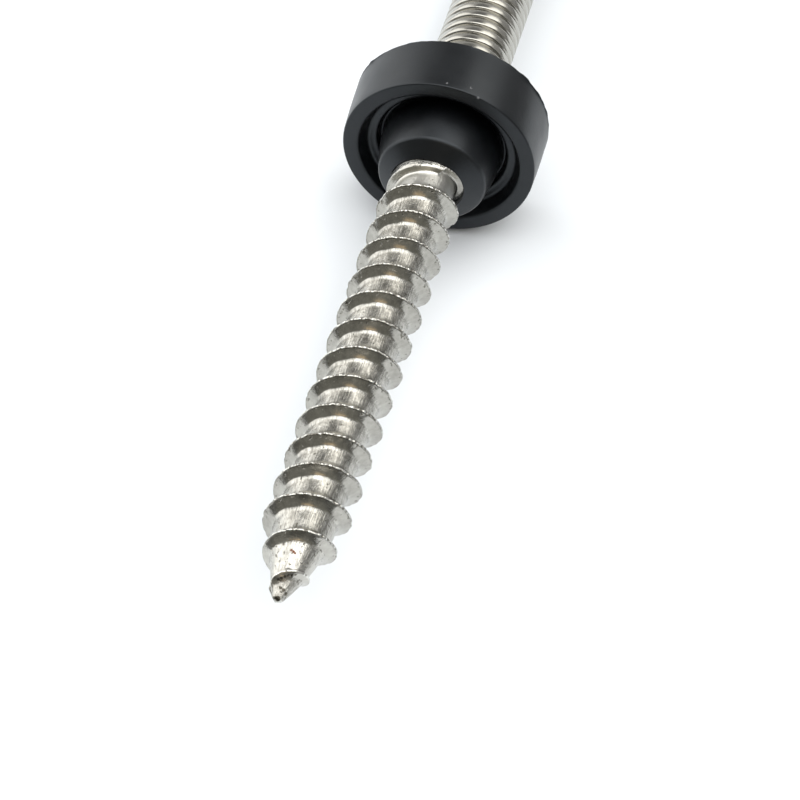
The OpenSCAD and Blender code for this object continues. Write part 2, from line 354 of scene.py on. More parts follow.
class SizesOfSeal(bpy.types.PropertyGroup):
    """Sizes of the seal, in millimetres from its front rim."""

    rim_place: FloatProperty(name="Place", description="Place of the rim on the bolt", default=70.9)
    front_d: FloatProperty(name="Front", description="Diameter of the front rim", default=24.15)
    back_d: FloatProperty(name="Back", description="Diameter of the back edge", default=24.55)
    depth: FloatProperty(name="Depth", description="Front rim to back", default=7.7)
    rim_width: FloatProperty(name="Rim", description="Width of the rim", default=1.9)
    step_depth: FloatProperty(name="Step", description="Rim to ledge", default=2.05)
    step_run: FloatProperty(name="Step run", description="Run of the step's wall", default=0.85)
    ledge_width: FloatProperty(name="Ledge", description="Width of the ledge", default=1.25)
    ledge_rise: FloatProperty(name="Ledge rise", description="Rise of the ledge inwards", default=0.4)
    groove_width: FloatProperty(name="Groove", description="Width of the groove", default=0.6)
    groove_depth: FloatProperty(name="Groove depth", description="Depth of the groove", default=1.4)
    boss_height: FloatProperty(name="Boss", description="Height of the boss before the rim", default=4.05)
    boss_d: FloatProperty(name="Boss diameter", description="Diameter at its corner", default=13.6)
    boss_corner: FloatProperty(name="Corner", description="Radius of that corner", default=0.75)
    boss_foot_depth: FloatProperty(name="Foot", description="Depth where its flank ends", default=0.2)
    face_rise: FloatProperty(name="Face rise", description="Rise of its face to the bore", default=0.65)
    bore_d: FloatProperty(name="Bore", description="Diameter of the bore", default=9.02)
    lean: FloatProperty(name="Lean", description="Lean on the bolt, in degrees", default=1.66)
    lean_turn: FloatProperty(name="Lean turn", description="Direction of the lean", default=52.5)
    shift: FloatProperty(name="Shift", description="Sideways shift", default=0.18)
    shift_turn: FloatProperty(name="Shift turn", description="Direction of the shift", default=-78.0)
    edge: FloatProperty(name="Edges", description="Radius of the moulded edges", default=0.22)
    groove_soft: FloatProperty(name="Softness", description="Rounding of the groove and ledge", default=0.45)
    flash: FloatProperty(name="Flash", description="Height of the ragged flash", default=0.24)
    lip_reach: FloatProperty(name="Lip", description="How far the bore's lip reaches ahead", default=0.45)
    lip_turn: FloatProperty(name="Lip turn", description="Direction where it reaches most", default=150.0)


class StageSettings(bpy.types.PropertyGroup):
    """Camera, light and floor."""

    camera_place: FloatVectorProperty(
        name="Camera", description="Place of the camera", subtype="XYZ", unit="LENGTH",
        default=(-0.2768366, -0.062405, 0.3181417))
    camera_yaw: FloatProperty(
        name="Yaw", description="Heading of the view", subtype="ANGLE", default=math.radians(14.59416))
    camera_pitch: FloatProperty(
        name="Pitch", description="How far the view looks down", subtype="ANGLE",
        default=math.radians(53.26954))
    lens: FloatProperty(name="Lens", description="Focal length in millimetres", default=147.6234)
    floor_middle: FloatVectorProperty(
        name="Floor", description="Middle of the floor", subtype="XYZ", unit="LENGTH",
        default=(0.2375, 0.21, -0.00005))
    floor_half: FloatVectorProperty(
        name="Floor size", description="Half sizes of the floor", subtype="XYZ", unit="LENGTH",
        default=(0.3625, 0.29, 0.0))
    sky_strength: FloatProperty(name="Sky", description="Strength of the light", default=1.0)
    floor_colour: FloatVectorProperty(
        name="Floor colour", description="Colour of the floor", subtype="COLOR",
        default=(0.785, 0.815, 0.85))


class FinishSettings(bpy.types.PropertyGroup):
    """Colours of the finishes."""

    steel_light: FloatVectorProperty(
        name="Light steel", description="Bright part of the steel", subtype="COLOR",
        default=(0.57, 0.555, 0.51))
    steel_dark: FloatVectorProperty(
        name="Dark steel", description="Dull part of the steel", subtype="COLOR",
        default=(0.22, 0.212, 0.188))
    # Also paints the run-out root pale, a painted lightening there
    crests: FloatVectorProperty(
        name="Crests", description="Rubbed crests of the thread", subtype="COLOR",
        default=(0.7, 0.69, 0.65))
    rust: FloatVectorProperty(
        name="Rust", description="Rust mark", subtype="COLOR", default=(0.12, 0.032, 0.007))
    # Dark pits, and also the colour of painted shade: dark marks at the point and dots between the crest
    # beads
    pits: FloatVectorProperty(
        name="Pits", description="Dark pits in the steel", subtype="COLOR", default=(0.1, 0.09, 0.07))
    # Pale colour of the ripped steel at the nick, a painted highlight there
    torn: FloatVectorProperty(
        name="Torn edge", description="Torn steel at the nick", subtype="COLOR", default=(0.9, 0.89, 0.86))
    specks: FloatVectorProperty(
        name="Specks", description="Pale specks on the rubber", subtype="COLOR", default=(0.3, 0.3, 0.31))
    rubber: FloatVectorProperty(
        name="Rubber", description="Black rubber", subtype="COLOR", default=(0.0012, 0.0014, 0.0019))


def lay_down(points, bolt):
    """Turns own-axis points, +Z from the point to the stud, to where the bolt rests."""
    t = math.radians(bolt.tilt)
    x, y, z = points.T
    return np.stack([
        math.cos(t) * z - math.sin(t) * x - bolt.middle,
        y,
        bolt.rest_height - math.sin(t) * z - math.cos(t) * x], -1)


LAG_SIDES = 150
STUD_SIDES = 75
# The machine thread over one pitch: distance from the land's edge, as a share of it, and height
STUD_ROWS = np.array([
    (0.0, 0.82), (0.05, 0.97), (0.11, 1.0), (0.57, 1.0),
    (0.63, 0.97), (0.68, 0.82), (0.77, 0.0), (0.84, 0.0)])
# Turns over which that thread's depth grows from half to full, and its crest from the shank
STUD_DEEPENS = (0.0, 1.2)
STUD_RISES = (-0.1, 0.45)
# Dents along the crests: spacing in turns, seed and share; they start at half the ridge's height
DENTS = ((0.019, 3, 1.0), (0.05, 4, 0.6))
DENTED = (0.5, 1.0)
# Lumps on the point: spacing, seed, and where they fade up the point and towards its end
LUMP_SPACING, LUMP_SEED = 0.5, 31
LUMPS_FADE, LUMPS_START = (3.6, 1.6), (0.0, 0.6)
# Plain rings after the lag thread, before the stud and round its end
THREAD_GAP, STUD_GAP = 0.3, 0.15
END_DROP, END_ROUND = 0.02, 0.12


def lag_skin(s, lag, sheet):
    """Points of the lag thread with dents, lumps, an oblique end and a bent point, then each point's
    share of the ridge and its height along the axis."""
    r, z = lag.surface(sheet.turn, sheet.row)
    top_share = np.concatenate([lag.BEHIND[:, 3], np.zeros(len(lag.ROOT)), lag.BEFORE[:, 3]])[sheet.row]
    crest_turn = sheet.turn + (sheet.row >= len(lag.BEHIND) + len(lag.ROOT))
    dent = sum(share * ripple(crest_turn, spacing, seed) for spacing, seed, share in DENTS)
    dented = ease(*DENTED, top_share) * np.minimum(1.0, lag.ridge(crest_turn))
    r = r - s.crest_dents * np.maximum(0.0, dent) * dented
    angle = math.radians(s.thread_turn) + 2 * math.pi * sheet.turn
    lump = crumple(r * np.mod(angle, 2 * math.pi), z, LUMP_SPACING, LUMP_SEED)
    r = r + s.tip_lumps * lump * ease(*LUMPS_FADE, z) * ease(*LUMPS_START, z)
    x = r * np.cos(angle)
    points = np.stack([x, r * np.sin(angle), np.maximum(z, -s.tip_slope * x)], -1)
    bend = np.maximum(0.0, 1.0 - z / s.lean_length) ** 2
    return points + bend[:, None] * lean_of(s), top_share, z


def lean_of(s):
    """How far the bent point's end lies off the axis."""
    turn = math.radians(s.point_lean_turn)
    return s.point_lean * np.array([math.cos(turn), math.sin(turn), 0.0])


def stud_skin(s, thread):
    """Points of the machine thread, which starts at the shank's diameter and at half its depth."""
    shank_r, stud_r = s.shank_d / 2, s.stud_d / 2
    offset, share = STUD_ROWS[thread.row].T
    turned = thread.turn + offset
    z = s.stud_start + s.stud_lead + s.stud_pitch * (turned + s.stud_turn)
    depth = s.stud_depth * (1.0 - share) * mix(0.5, 1.0, ease(*STUD_DEEPENS, turned))
    crest = mix(shank_r, stud_r, ease(*STUD_RISES, turned))
    radius = np.maximum(crest - depth, stud_r - s.stud_depth)
    angle = math.radians(s.thread_turn) + 2 * math.pi * thread.turn
    return np.stack([radius * np.cos(angle), radius * np.sin(angle), z], -1)


def bolt_skin(s):
    """The whole bolt as one closed skin: lag thread, shank, machine thread and end face."""
    lag = LagThread(s)
    shank_z = s.lag_length + (1.0 - s.groove_stop) * s.lag_pitch
    sheet = HelixSheet(math.ceil((shank_z + s.lead_in) / s.lag_pitch), LAG_SIDES, lag.ROWS, 0)
    lag_points, top_share, lag_z = lag_skin(s, lag, sheet)
    hub = sheet.count

    shank_r, stud_r = s.shank_d / 2, s.stud_d / 2
    turn = math.radians(s.thread_turn)
    ring_a = hub + 1 + np.arange(LAG_SIDES)
    ring_b = ring_a + LAG_SIDES
    ring_c = ring_b[-1] + 1 + np.arange(STUD_SIDES)
    rings = np.concatenate([
        circle(shank_r, lag_z[sheet.ids[-1]].max() + THREAD_GAP, LAG_SIDES, turn),
        circle(shank_r, s.stud_start - STUD_GAP, LAG_SIDES, turn),
        circle(shank_r, s.stud_start, STUD_SIDES, turn)])

    chamfer_z = s.bolt_length - s.stud_chamfer
    stud_turns = math.floor((chamfer_z - s.stud_start - s.stud_lead) / s.stud_pitch - s.stud_turn) - 1
    thread = HelixSheet(stud_turns, STUD_SIDES, len(STUD_ROWS), ring_c[-1] + 1)
    ring_d = ring_c[-1] + 1 + thread.count + np.arange(STUD_SIDES)
    ring_e = ring_d + STUD_SIDES
    ring_f = ring_e + STUD_SIDES
    end_hub = ring_f[-1] + 1
    end_r = stud_r - s.stud_chamfer
    end_rings = np.concatenate([
        circle(stud_r, chamfer_z, STUD_SIDES, turn),
        circle(end_r, s.bolt_length - END_DROP, STUD_SIDES, turn),
        circle(end_r - END_ROUND, s.bolt_length, STUD_SIDES, turn)])

    points = np.concatenate([
        lag_points, lean_of(s)[None], rings, stud_skin(s, thread), end_rings, [[0.0, 0.0, s.bolt_length]]])
    faces = [sheet.faces(), fan(sheet.rim(), hub, False), *sheet.head(ring_a), band(ring_a, ring_b),
             *halve(ring_b, ring_c), *thread.foot(ring_c), thread.faces(), *thread.head(ring_d),
             band(ring_d, ring_e), band(ring_e, ring_f), fan(ring_f, end_hub, True)]
    around = np.arctan2(points[:, 1], points[:, 0]) * shank_r
    around[:sheet.count] = sheet.turn * 2 * math.pi * shank_r
    rise = np.zeros(len(points))
    rise[:sheet.count] = top_share
    uv = {"path": np.stack([around, points[:, 2]], -1), "form": np.stack([rise, points[:, 2]], -1)}
    return points, faces, uv


def arc(centre, radius, start, end, steps):
    """Points of a circular arc in the (radius, height) plane, in degrees."""
    a = np.radians(np.linspace(start, end, steps))
    return np.stack([centre[0] + radius * np.cos(a), centre[1] + radius * np.sin(a)], -1)


def rounded(points, radius, steps=5, reach=0.45):
    """An open profile with each inner corner rounded: points on a quadratic curve between the two
    places where the rounding starts, at most radius or reach of the way to the next corner."""
    points = np.asarray(points, float)
    before, corner, after = points[:-2], points[1:-1], points[2:]
    back, on = before - corner, after - corner
    reach_back = np.minimum(radius, np.linalg.norm(back, axis=1) * reach)[:, None]
    reach_on = np.minimum(radius, np.linalg.norm(on, axis=1) * reach)[:, None]
    a = corner + back / np.linalg.norm(back, axis=1)[:, None] * reach_back
    b = corner + on / np.linalg.norm(on, axis=1)[:, None] * reach_on
    t = np.linspace(0.0, 1.0, steps)[None, :, None]
    curve = (1 - t) ** 2 * a[:, None] + 2 * t * (1 - t) * corner[:, None] + t ** 2 * b[:, None]
    return np.concatenate([points[:1], curve.reshape(-1, 2), points[-1:]])


def softened(points, spread, count):
    """A profile resampled evenly and averaged along its length with a bell of the given spread. Its
    two ends stay."""
    run = np.concatenate([[0.0], np.cumsum(np.linalg.norm(np.diff(points, axis=0), axis=1))])
    even = np.linspace(0.0, run[-1], count)
    fine = np.stack([np.interp(even, run, points[:, k]) for k in (0, 1)], -1)
    weight = np.exp(-((even[:, None] - even[None, :]) / spread) ** 2)
    calm = weight @ fine / weight.sum(1, keepdims=True)
    return mix(fine, calm, ease(0.0, 2 * spread, np.minimum(even, run[-1] - even))[:, None])


SEAL_SIDES = 288
# Roundings of the bore's mouth and of the foot of the boss
MOUTH_ROUND, FOOT_ROUND = 0.12, 1.4
# Roundings of the ledge and the rim's two edges, as shares of the edges' radius
LEDGE_ROUND, RIM_ROUND = 2.0, (1.3, 1.0)
# Points along the hollow, and shares of the wall that get points
HOLLOW_POINTS = 46
WALL_SHARES = np.linspace(0.1, 0.94, 9)
# The back edge: where the wall ends, then points as distance inwards and before the back
WALL_END = 0.35
BACK_EDGE = ((0.0, 0.2), (-0.03, 0.03), (0.0, 0.0), (0.6, 0.0))
BACK_MIDDLE, BORE_EDGE = 0.6, 0.1
# Flash on the first three points of that edge: shares of its height, raggedness and noise
FLASH_SHARES = (0.25, 1.0, 0.9)
RAGGED, RAGGED_SPACING, RAGGED_SEED = 0.1, 0.6, 13
FLASH_SPACING, FLASH_SEED = 0.8, 12
# Where flash stands on the seal's back edge: direction, spread in degrees and share of its height
FLASH_PLACES = ((232.0, 26.0, 1.0), (120.0, 9.0, 0.8), (155.0, 7.0, 0.4), (20.0, 30.0, 0.5))
# The rim's waves: height, number, turn and the radii between which they grow
WAVE, WAVES, WAVE_TURN, WAVE_GROWS = 0.05, 3, 0.6, (9.0, 11.5)
# Swelling of the outer wall, and the width of what counts as that wall
SWELL, WALL_BAND = 0.06, 0.3
# Widths round the bore that the lip and the bolt's own axis take up
LIP_WIDTH, GRIP_WIDTH = 1.0, 1.6


def seal_profile(s):
    """The seal's outline as rows of (radius, height), and the row where its back edge starts."""
    front, back, bore, boss = s.front_d / 2, s.back_d / 2, s.bore_d / 2, s.boss_d / 2
    rim_in = front - s.rim_width
    ledge_out = rim_in - s.step_run
    ledge_in = ledge_out - s.ledge_width
    foot = ledge_in - s.groove_width
    groove_r = s.groove_width / 2
    groove_z = s.step_depth - s.ledge_rise + s.groove_depth
    face_slope = math.degrees(math.atan(s.face_rise / (boss - s.boss_corner - bore)))
    flank_height = s.boss_height - s.boss_corner + s.boss_foot_depth
    flank_slope = math.degrees(math.atan((foot - boss) / flank_height))
    corner = arc((boss - s.boss_corner, s.boss_corner - s.boss_height), s.boss_corner,
                 face_slope - 90.0, -flank_slope, 9)
    bottom = arc((foot + groove_r, groove_z - groove_r), groove_r, 180.0, 0.0, 11)
    mouth = np.concatenate([[(bore, 0.0), (bore, -s.boss_height - s.face_rise)], corner[:1]])
    inner = rounded(mouth, MOUTH_ROUND, 4)
    flank = np.concatenate([corner[-1:], [(foot, s.boss_foot_depth)], bottom[:1]])
    flank = rounded(flank, FOOT_ROUND, 8)
    ledge = np.concatenate([bottom[-1:], [
        (ledge_in, s.step_depth - s.ledge_rise), (ledge_out, s.step_depth), (rim_in, 0.0)]])
    ledge = rounded(ledge, s.edge * LEDGE_ROUND, 6)
    hollow = softened(np.concatenate([flank[1:-1], bottom, ledge[1:-1]]), s.groove_soft, HOLLOW_POINTS)
    outer = np.array([(ledge_out, s.step_depth), (rim_in, 0.0), (front, 0.0), (back, s.depth - WALL_END)])
    outer = rounded(outer, s.edge * np.array(RIM_ROUND), 6)
    wall = mix(outer[-2], outer[-1], WALL_SHARES[:, None])
    tail = [(back - inwards, s.depth - ahead) for inwards, ahead in BACK_EDGE]
    tail += [(back * BACK_MIDDLE, s.depth), (bore + BORE_EDGE, s.depth),
             (bore, s.depth - BORE_EDGE), (bore, s.depth / 2)]
    profile = np.concatenate([inner[:-1], corner, hollow, outer[1:-1], wall, outer[-1:], tail])
    return profile, len(profile) - len(tail)


def seal_skin(s, bolt):
    """The seal as a closed profile carried round its axis. Near the bore it follows the bolt's own
    axis, further out it leans and shifts, its rim is a little out of round, ragged flash stands on
    the back edge, and the ground flattens what would sink into it."""
    front, back, bore = s.front_d / 2, s.back_d / 2, s.bore_d / 2
    profile, edge_row = seal_profile(s)
    count = len(profile)
    flash_row = np.zeros(count)
    flash_row[edge_row:edge_row + len(FLASH_SHARES)] = FLASH_SHARES
    lip_row = ease(bore + LIP_WIDTH, bore, profile[:, 0]) * (profile[:, 1] < -s.boss_height / 2)

    a = np.arange(SEAL_SIDES) * 2 * math.pi / SEAL_SIDES
    radius = np.repeat(profile[:, :1], SEAL_SIDES, 1)
    height = np.repeat(profile[:, 1:], SEAL_SIDES, 1)
    ragged = RAGGED * ripple(a * back, RAGGED_SPACING, RAGGED_SEED)
    for centre, spread, share in FLASH_PLACES:
        turned = np.mod(a - math.radians(centre) + math.pi, 2 * math.pi) - math.pi
        there = np.exp(-(turned / math.radians(spread)) ** 2)
        ragged = ragged + share * there * (0.5 + 0.5 * ripple(a * back, FLASH_SPACING, FLASH_SEED))
    radius = radius + flash_row[:, None] * s.flash * np.maximum(0.0, ragged)
    lip = s.lip_reach * (0.5 + 0.5 * np.cos(a - math.radians(s.lip_turn)))
    height = height - lip_row[:, None] * lip
    radius = radius + ease(*WAVE_GROWS, profile[:, 0])[:, None] * WAVE * np.cos(WAVES * a + WAVE_TURN)
    bulge = np.sin(math.pi * np.clip(height / s.depth, 0.0, 1.0))
    radius = radius + SWELL * bulge * (radius > front - WALL_BAND)
    own = np.stack([radius * np.cos(a), radius * np.sin(a), height], -1).reshape(-1, 3)

    lean, turn = math.radians(s.lean), math.radians(s.lean_turn)
    spin = np.array(Matrix.Rotation(lean, 3, (-math.sin(turn), math.cos(turn), 0.0)))
    shift_turn = math.radians(s.shift_turn)
    moved = own @ spin.T + s.shift * np.array([math.cos(shift_turn), math.sin(shift_turn), 0.0])
    free = ease(bore, bore + GRIP_WIDTH, np.hypot(own[:, 0], own[:, 1]))[:, None]
    points = lay_down(mix(own, moved, free) + [0.0, 0.0, s.rim_place], bolt)
    points[:, 2] = np.maximum(points[:, 2], 0.0)

    ids = np.arange(count * SEAL_SIDES).reshape(count, SEAL_SIDES)
    ids = np.concatenate([ids, ids[:1]])
    ids = np.column_stack([ids, ids[:, 0]])
    faces = np.stack([ids[:-1, :-1], ids[:-1, 1:], ids[1:, 1:], ids[1:, :-1]], -1).reshape(-1, 4)
    return points, [faces]


# Finishes

class Signal:
    """A shader socket. Arithmetic on it adds Math nodes."""

    def __init__(self, board, socket):
        self.board, self.socket = board, socket

    def sum_of(self, operation, *values):
        return self.board.node("ShaderNodeMath", {"operation": operation}, *values)

    def __add__(self, other):
        return self.sum_of("ADD", self, other)

    def __sub__(self, other):
        return self.sum_of("SUBTRACT", self, other)

    def __rsub__(self, other):
        return self.sum_of("SUBTRACT", other, self)

    def __mul__(self, other):
        return self.sum_of("MULTIPLY", self, other)

    __radd__ = __add__
    __rmul__ = __mul__


class Board:
    """A node tree to which nodes are added with their settings, values and links."""

    def __init__(self, tree):
        self.tree = tree

    def node(self, kind, settings=None, *values, out=0, **named):
        made = self.tree.nodes.new(kind)
        for key, value in (settings or {}).items():
            setattr(made, key, value)
        for key, value in [*enumerate(values), *named.items()]:
            socket = made.inputs[key if isinstance(key, int) else key.replace("_", " ")]
            if isinstance(value, Signal):
                self.tree.links.new(value.socket, socket)
            elif value is not None:
                socket.default_value = value
        return Signal(self, made.outputs[out])

    def step(self, value, low, high, to_low=0.0, to_high=1.0):
        """Soft step of a value from low to high."""
        return self.node("ShaderNodeMapRange", {"interpolation_type": "SMOOTHSTEP"},
                         value, low, high, to_low, to_high)

    def blend(self, share, first, second):
        """Colour blend."""
        mixer = self.node("ShaderNodeMix", {"data_type": "RGBA"}, share, out=2)
        for index, value in ((6, first), (7, second)):
            socket = mixer.socket.node.inputs[index]
            if isinstance(value, Signal):
                self.tree.links.new(value.socket, socket)
            else:
                socket.default_value = (*value, 1.0)
        return mixer

    def noise(self, vector, scale, detail=2.0, rough=0.5):
        return self.node("ShaderNodeTexNoise", None,
                         Vector=vector, Scale=scale, Detail=detail, Roughness=rough)

    def stretch(self, vector, scale):
        return self.node("ShaderNodeMapping", None, Vector=vector, Scale=scale)


def new_finish(name, **fixed):
    """A material with one Principled shader whose constant sockets are set."""
    material = bpy.data.materials.new(name)
    material.use_nodes = True
    shader = material.node_tree.nodes["Principled BSDF"]
    for key, value in fixed.items():
        shader.inputs[key.replace("_", " ")].default_value = value
    return material, Board(material.node_tree), shader


def wire(board, shader, **signals):
    for key, value in signals.items():
        board.tree.links.new(value.socket, shader.inputs[key.replace("_", " ")])


# Marks as centre and radius in millimetres. Most centres were found by a scratch script that cast
# places in the photograph on to the model; a few were set by hand.
RUST_MARKS = (
    ((-84.404, -0.004, 19.91), 0.22), ((-84.52, -0.24, 19.88), 0.22), ((-84.628, -0.463, 19.814), 0.18))
# Painted shade: dark lines and spots under the ridge at the point, where the groove's shade and dark
# reflections fall
PAINTED_SHADE_MARKS = (
    ((-89.66, 0.18, 17.95), 0.4), ((-88.612, 0.038, 18.609), 0.2), ((-88.704, -0.267, 18.463), 0.24),
    ((-88.869, -0.586, 18.035), 0.26), ((-87.928, 0.521, 19.082), 0.2), ((-87.762, 0.209, 19.266), 0.2),
    ((-87.543, -0.13, 19.382), 0.2), ((-87.347, -0.473, 19.426), 0.2), ((-87.171, -0.82, 19.393), 0.2),
    ((-86.992, -1.165, 19.324), 0.18))
# Painted highlight: pale spots on the ripped steel at the nick
TORN_GLINT_MARKS = (
    ((-24.0, -2.32, 16.88), 0.16), ((-24.31, -2.21, 16.92), 0.18), ((-24.45, -2.05, 16.62), 0.22),
    ((-24.54, -1.85, 16.32), 0.2), ((-23.85, -2.66, 16.54), 0.14), ((-23.78, -3.02, 16.29), 0.14))
PALE_MARKS = (
    ((-17.457, -0.712, 24.685), 0.18), ((-17.057, -3.595, 24.168), 0.2), ((-18.079, -4.721, 23.791), 0.22))
# Share of a mark's radius that is fully covered
MARK_CORE = 0.62


def spots(board, place, marks):
    """1 within any of some marks, soft to 0 at their edges."""
    found = None
    for centre, size in marks:
        middle = tuple(c * MM for c in centre)
        gap = board.node("ShaderNodeVectorMath", {"operation": "DISTANCE"}, place, middle, out=1)
        spot = board.step(gap, size * MM, size * MM * MARK_CORE)
        if found is not None:
            spot = board.node("ShaderNodeMath", {"operation": "MAXIMUM"}, found, spot)
        found = spot
    return found


# Noise: scale per metre, detail and roughness; streaks are per millimetre
BROAD, MOTTLE, GRAIN = (260.0, 3.0), (1400.0, 3.0, 0.6), (3600.0, 2.0, 0.6)
BEADS, PITTING, STREAKS = (2300.0, 2.0, 0.6), (2300.0, 1.0), (1.0, 4.0, 0.65)
STREAK_STRETCH = (4.4, 0.45, 1.0)
CLOUD, RUBBER_GRAIN = (220.0, 4.0), (4200.0, 2.0)
# Where the steel changes along the bolt, in millimetres from the point: start and end of a soft step
BEADS_START, POINT_END, LAST_CREST = (3.2, 4.6), (10.0, 6.5), (64.8, 63.5)
# ROOT_DULLS and ROOT_CLEARS bound the run-out root, made rougher and painted pale
ROOT_DULLS, ROOT_CLEARS, PITS_STOP = (60.5, 62.5), (68.0, 66.5), (60.0, 70.0)
STREAKS_STOP, STUD_TONE, STUD_ROUGH, STUD_CALM = (80.0, 77.0), (77.0, 81.0), (77.0, 80.0), (82.0, 77.0)
# And up the thread, as shares of the ridge
FLANK, UPPER_FLANK, CREST = (0.03, 0.2), (0.4, 0.75), (0.88, 0.96)


def rolled_steel(look):
    """Bare rolled stainless steel: drawn streaks on the root and shank, smoother flanks, beads on the
    crests, pitting that crowds the point and the upper flanks, and a rust mark. Painted light on it: a
    painted highlight on the ripped steel at the nick, painted shade in dark marks at the point and in
    dark dots between the crest beads, and the run-out root painted pale, a painted lightening."""
    material, board, shader = new_finish("rolled_steel", Metallic=1.0)
    place = board.node("ShaderNodeTexCoord", out=3)
    path = board.node("ShaderNodeUVMap", {"uv_map": "path"})
    form = board.node("ShaderNodeSeparateXYZ", None, board.node("ShaderNodeUVMap", {"uv_map": "form"}))
    own_z = Signal(board, form.socket.node.outputs[1])
    broad = board.noise(place, *BROAD)
    mottle = board.noise(place, *MOTTLE)
    grain = board.noise(place, *GRAIN)
    bead = board.noise(place, *BEADS)
    streak = board.noise(board.stretch(path, STREAK_STRETCH), *STREAKS)

    flank = board.step(form, *FLANK)
    crest = board.step(form, *CREST)
    near_tip = board.step(own_z, *POINT_END)
    streak = 0.5 + (streak - 0.5) * (0.85 - 0.72 * flank) * board.step(own_z, *STREAKS_STOP)
    beaded = crest * board.step(own_z, *LAST_CREST, 0.22, 1.0) * board.step(own_z, *BEADS_START)
    # The run-out root: rougher, and painted pale to lighten its dark reflection of the seal
    painted_pale_root = board.step(own_z, *ROOT_DULLS) * board.step(own_z, *ROOT_CLEARS) * (1.0 - flank)
    crowd = 0.06 * near_tip - board.step(own_z, *PITS_STOP, 0.0, 0.1) + broad * 0.12 - 0.05 * flank
    crowd = crowd + board.step(form, *UPPER_FLANK, 0.0, 0.11) * (1.0 - near_tip)
    pit = board.step(board.noise(place, *PITTING) + crowd, 0.76, 0.81)
    # Painted shade at the point, in marks broken up by the mottle
    dark = spots(board, place, PAINTED_SHADE_MARKS) * board.step(mottle, 0.28, 0.42)
    torn = spots(board, place, TORN_GLINT_MARKS)
    rust = spots(board, place, RUST_MARKS) * board.step(mottle, 0.3, 0.5)

    tone = board.step(broad * 0.2 + streak * 0.5 + mottle * 0.3, 0.36, 0.64)
    tone = mix(tone, 0.5, 0.5 * flank)
    tone = mix(tone, 0.62, board.step(own_z, *STUD_TONE, 0.0, 0.75)) + 0.25 * near_tip
    colour = board.blend(tone, look.steel_dark, look.steel_light)
    colour = board.blend(crest * board.step(own_z, *LAST_CREST, 0.4, 1.0), colour, look.crests)
    # Painted lightening of the run-out root in the crests' colour
    colour = board.blend(painted_pale_root * 0.8, colour, look.crests)
    # Painted shade: dark dots in the pits colour between the crest's beads, breaking up its highlight
    colour = board.blend(beaded * board.step(bead, 0.53, 0.43) * 0.8, colour, look.pits)
    colour = board.blend(pit * 0.75, colour, look.pits)
    # Painted shade: the dark marks at the point
    colour = board.blend(dark * 0.95, colour, look.pits)
    # Painted highlight at the nick: a pale, less metallic and rougher patch
    colour = board.blend(torn, colour, look.torn)
    colour = board.blend(rust, colour, look.rust)
    rough = 0.08 + 0.07 * streak + 0.06 * broad + 0.05 * mottle + board.step(own_z, *STUD_ROUGH, 0.0, 0.03)
    rough = rough + 0.35 * rust + 0.16 * painted_pale_root + 0.3 * torn
    uneven = mottle * (0.5 + 0.2 * near_tip) + grain * 0.4 + broad * 0.5
    height = streak + uneven * (1.0 - 0.55 * flank * (1.0 - near_tip)) + bead * (5.0 * beaded) - pit * 0.8
    height = height * board.step(own_z, *STUD_CALM, 0.25, 1.0)
    bump = board.node("ShaderNodeBump", None, Strength=0.95, Distance=0.00006, Height=height)
    wire(board, shader, Base_Color=colour, Roughness=rough, Metallic=1.0 - 0.7 * torn, Normal=bump)
    return material


def black_rubber(look):
    """Moulded rubber with a fine grain, a faint bloom and a few pale specks."""
    material, board, shader = new_finish(
        "black_rubber", IOR=1.5, Specular_IOR_Level=0.46, Specular_Tint=(0.86, 0.93, 1.0, 1.0))
    place = board.node("ShaderNodeTexCoord", out=3)
    cloud = board.noise(place, *CLOUD)
    grain = board.noise(place, *RUBBER_GRAIN)
    bloom = tuple(1.5 * c for c in look.rubber)
    colour = board.blend(board.step(cloud, 0.35, 0.75), look.rubber, bloom)
    speck = spots(board, place, PALE_MARKS) * board.step(grain, 0.4, 0.55)
    colour = board.blend(speck * 0.4, colour, look.specks)
    rough = 0.24 + 0.26 * cloud
    bump = board.node("ShaderNodeBump", None, Strength=0.2, Distance=0.00005, Height=grain + cloud * 0.6)
    wire(board, shader, Base_Color=colour, Roughness=rough, Normal=bump)
    return material


# Operators

# Steeper edges than these stay sharp, in degrees
STEEL_SHARP, RUBBER_SHARP = 50.0, 60.0


class OBJECT_OT_hanger_bolt(bpy.types.Operator):
    """Add the rolled steel bolt"""

    bl_idname = "object.hanger_bolt_add"
    bl_label = "Hanger Bolt"

    def execute(self, context):
        scene = context.scene
        points, faces, uv = bolt_skin(scene.bolt_sizes)
        points = lay_down(points, scene.bolt_sizes)
        piece = add_object("rolled_bolt", points, faces, uv, math.radians(STEEL_SHARP))
        piece.data.materials.append(rolled_steel(scene.bolt_finish))
        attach(piece, "root")
        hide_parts("hanger_bolt")
        return {"FINISHED"}


class OBJECT_OT_sealing_washer(bpy.types.Operator):
    """Add the rubber seal"""

    bl_idname = "object.sealing_washer_add"
    bl_label = "Sealing Washer"

    def execute(self, context):
        scene = context.scene
        points, faces = seal_skin(scene.seal_sizes, scene.bolt_sizes)
        piece = add_object("rubber_seal", points, faces, sharp=math.radians(RUBBER_SHARP))
        piece.data.materials.append(black_rubber(scene.bolt_finish))
        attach(piece, "root")
        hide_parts("sealing_washer")
        return {"FINISHED"}


